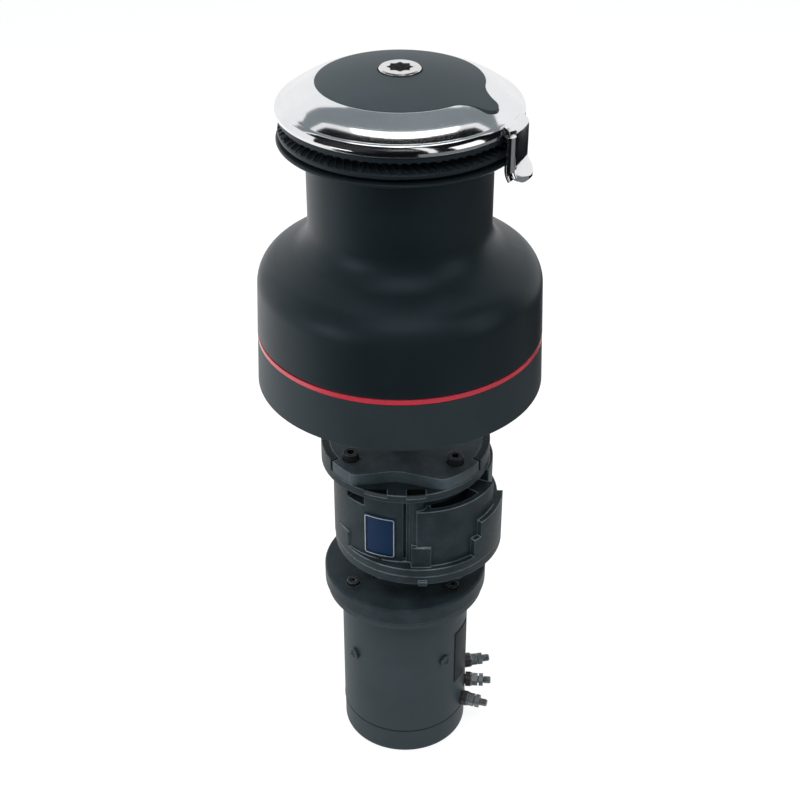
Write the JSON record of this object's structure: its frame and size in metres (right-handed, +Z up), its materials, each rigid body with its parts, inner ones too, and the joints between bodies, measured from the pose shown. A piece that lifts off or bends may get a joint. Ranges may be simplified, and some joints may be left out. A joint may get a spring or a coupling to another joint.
{
  "type": "electric sailboat winch",
  "caption": "Upright electric self-tailing winch: smooth drum with rope jaws and polished stripper ring, and a gearbox and motor hanging under the deck.",
  "frame": {"origin": "centre of the deck bolt circle, on the drum axis, in the plane of the deck", "axes": "+Z up along the drum axis; the rope arm points towards +X and -Y"},
  "size_m": [0.287, 0.287, 0.7946],
  "materials": {
    "anodised_black": "fine satin hard anodising",
    "skirt_black": "satin powder coat",
    "trim_red": "gloss red ring",
    "polished_steel": "mirror polished stainless steel",
    "cap_black": "fine grained moulding",
    "jaw_black": "fibre filled moulding",
    "socket_steel": "machined stainless steel",
    "gear_steel": "cut and hardened",
    "bronze": "cast bronze, machined",
    "bright_aluminium": "machined",
    "bearing_plastic": "acetal rollers and cages",
    "casting_grey": "painted casting",
    "motor_grey": "satin paint on drawn steel",
    "screw_black": "blackened steel",
    "stud_steel": "plated, dulled",
    "plate_blue": "blue anodised, left bare",
    "plate_dark": "dark foil, left bare",
    "laminations": "varnished iron laminations",
    "insulation": "phenolic",
    "seal_rubber": "nitrile"
  },
  "bodies": {
    "frame": {"base_plate": "casting_grey", "base_skirt": "skirt_black", "red_trim_ring": "trim_red", "centre_stem": "bronze", "stem_screws": "socket_steel", "stripper_carrier": "bright_aluminium", "carrier_screws": "socket_steel", "stripper_ring": "polished_steel", "peeler": "jaw_black", "top_cap": "cap_black", "spindle_bushes": "bronze", "layshaft_pin": "gear_steel", "deck_tube": "bright_aluminium", "deck_tube_screws": "socket_steel", "adapter_plate": "casting_grey", "adapter_screws": "screw_black", "gearbox_housing": "casting_grey", "gearbox_cover": "casting_grey", "gearbox_bolts": "screw_black", "gearbox_nameplate": "plate_blue", "output_bearings": "gear_steel", "intermediate_bearings": "gear_steel", "shaft_seal": "seal_rubber", "motor_flange": "casting_grey", "motor_flange_screws": "screw_black", "motor_body": "motor_grey", "field_poles": "laminations", "pole_screws": "screw_black", "motor_nameplate": "plate_dark", "motor_bearings": "gear_steel", "brush_gear": "insulation", "motor_end_cap": "motor_grey", "seam_ring": "seal_rubber", "terminal_studs": "stud_steel", "terminal_insulators": "insulation", "terminal_nuts": "stud_steel"},
    "drum": {"drum": "anodised_black", "drum_ring_gear": "bronze", "ring_gear_screws": "socket_steel", "upper_jaw": "jaw_black", "jaw_screws": "socket_steel", "wave_spring": "gear_steel"},
    "lower_jaw": {"lower_jaw": "jaw_black"},
    "spindle": {"main_spindle": "gear_steel", "spindle_pinion": "gear_steel", "handle_socket": "socket_steel", "output_shaft": "gear_steel", "output_gear": "gear_steel"},
    "layshaft": {"layshaft_gear": "bronze", "layshaft_pinion": "gear_steel"},
    "pawl_a": {"layshaft_pawl_a": "gear_steel"},
    "pawl_b": {"layshaft_pawl_b": "gear_steel"},
    "intermediate": {"intermediate_shaft": "gear_steel"},
    "rotor": {"motor_shaft": "gear_steel", "armature": "laminations", "motor_pinion": "gear_steel"},
    "lower_cage": {"lower_bearing_cage": "bearing_plastic", "lower_bearing_rollers": "bearing_plastic"},
    "upper_cage": {"upper_bearing_cage": "bearing_plastic", "upper_bearing_rollers": "bearing_plastic"}
  },
  "joints": [
    {"name": "drum_spin", "type": "hinge", "parent": "frame", "child": "drum", "pos_m": [0, 0, 0.18], "axis": [0, 0, 1], "continuous": true},
    {"name": "lower_jaw_slide", "type": "slide", "parent": "drum", "child": "lower_jaw", "axis": [0, 0, 1], "range_m": [-0.003, 0], "stiffness_N_per_m": 4000, "springref_m": 0.002, "deforming": ["wave_spring"]},
    {"name": "spindle_spin", "type": "hinge", "parent": "frame", "child": "spindle", "pos_m": [0, 0, 0.027], "axis": [0, 0, 1], "continuous": true},
    {"name": "layshaft_spin", "type": "hinge", "parent": "frame", "child": "layshaft", "pos_m": [0, 0.075, 0.027], "axis": [0, 0, 1], "continuous": true},
    {"name": "pawl_a_hinge", "type": "hinge", "parent": "layshaft", "child": "pawl_a", "pos_m": [-0.01339, 0.09245, 0.03], "axis": [0, 0, 1], "range_deg": [-16, 0], "stiffness_Nm_per_rad": 0.02, "springref_deg": 17.19},
    {"name": "pawl_b_hinge", "type": "hinge", "parent": "layshaft", "child": "pawl_b", "pos_m": [0.01339, 0.05755, 0.03], "axis": [0, 0, 1], "range_deg": [-16, 0], "stiffness_Nm_per_rad": 0.02, "springref_deg": 17.19},
    {"name": "intermediate_spin", "type": "hinge", "parent": "frame", "child": "intermediate", "pos_m": [0.03531, 0.03397, -0.18], "axis": [0, 0, 1], "continuous": true},
    {"name": "rotor_spin", "type": "hinge", "parent": "frame", "child": "rotor", "pos_m": [0.0058, 0, -0.345], "axis": [0, 0, 1], "continuous": true},
    {"name": "lower_cage_spin", "type": "hinge", "parent": "frame", "child": "lower_cage", "pos_m": [0, 0, 0.107], "axis": [0, 0, 1], "continuous": true},
    {"name": "upper_cage_spin", "type": "hinge", "parent": "frame", "child": "upper_cage", "pos_m": [0, 0, 0.227], "axis": [0, 0, 1], "continuous": true}
  ],
  "couplings": [
    {"joint": "spindle_spin", "follows": "drum_spin", "ratio": -9.5},
    {"joint": "layshaft_spin", "follows": "drum_spin", "ratio": 4.75},
    {"joint": "intermediate_spin", "follows": "drum_spin", "ratio": 23.75},
    {"joint": "rotor_spin", "follows": "drum_spin", "ratio": -78.036},
    {"joint": "lower_cage_spin", "follows": "drum_spin", "ratio": 0.54546},
    {"joint": "upper_cage_spin", "follows": "drum_spin", "ratio": 0.54546}
  ]
}
